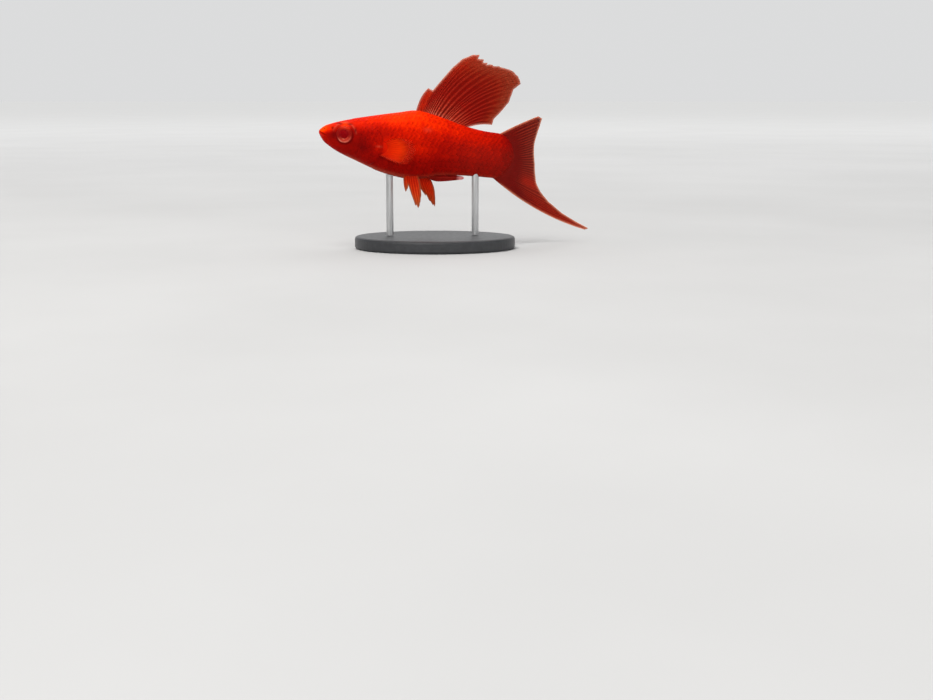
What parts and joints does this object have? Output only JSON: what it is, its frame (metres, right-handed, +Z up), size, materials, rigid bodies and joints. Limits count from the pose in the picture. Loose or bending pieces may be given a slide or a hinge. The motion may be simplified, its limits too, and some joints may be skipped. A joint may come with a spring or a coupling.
{
  "type": "model fish on a stand",
  "caption": "Life-size display model of a slender red tropical fish with a tall back fin and a long sword on its tail, held by rods over an oval base.",
  "frame": {"origin": "centre of the flat underside of the stand's base", "axes": "+Z up, -X towards the fish's snout, -Y to the fish's left flank"},
  "size_m": [0.089, 0.0375, 0.0616],
  "materials": {
    "skin": "satin",
    "eye": "gloss",
    "dorsal_fin": "satin",
    "tail_fin": "satin",
    "pectoral_fin": "satin",
    "pelvic_fin": "satin",
    "stand_base": "satin",
    "stand_rod": "brushed"
  },
  "bodies": {
    "root": {"head": "skin", "trunk": "skin", "tail": "skin", "eye_left": "eye", "eye_right": "eye", "dorsal_fin": "dorsal_fin", "caudal_fin": "tail_fin", "tail_sword": "tail_fin", "pectoral_fin_left": "pectoral_fin", "pectoral_fin_right": "pectoral_fin", "pelvic_fin_left": "pelvic_fin", "pelvic_fin_right": "pelvic_fin", "gonopodium": "tail_fin", "stand_base": "stand_base", "stand_rod_front": "stand_rod", "stand_rod_rear": "stand_rod"}
  },
  "joints": []
}
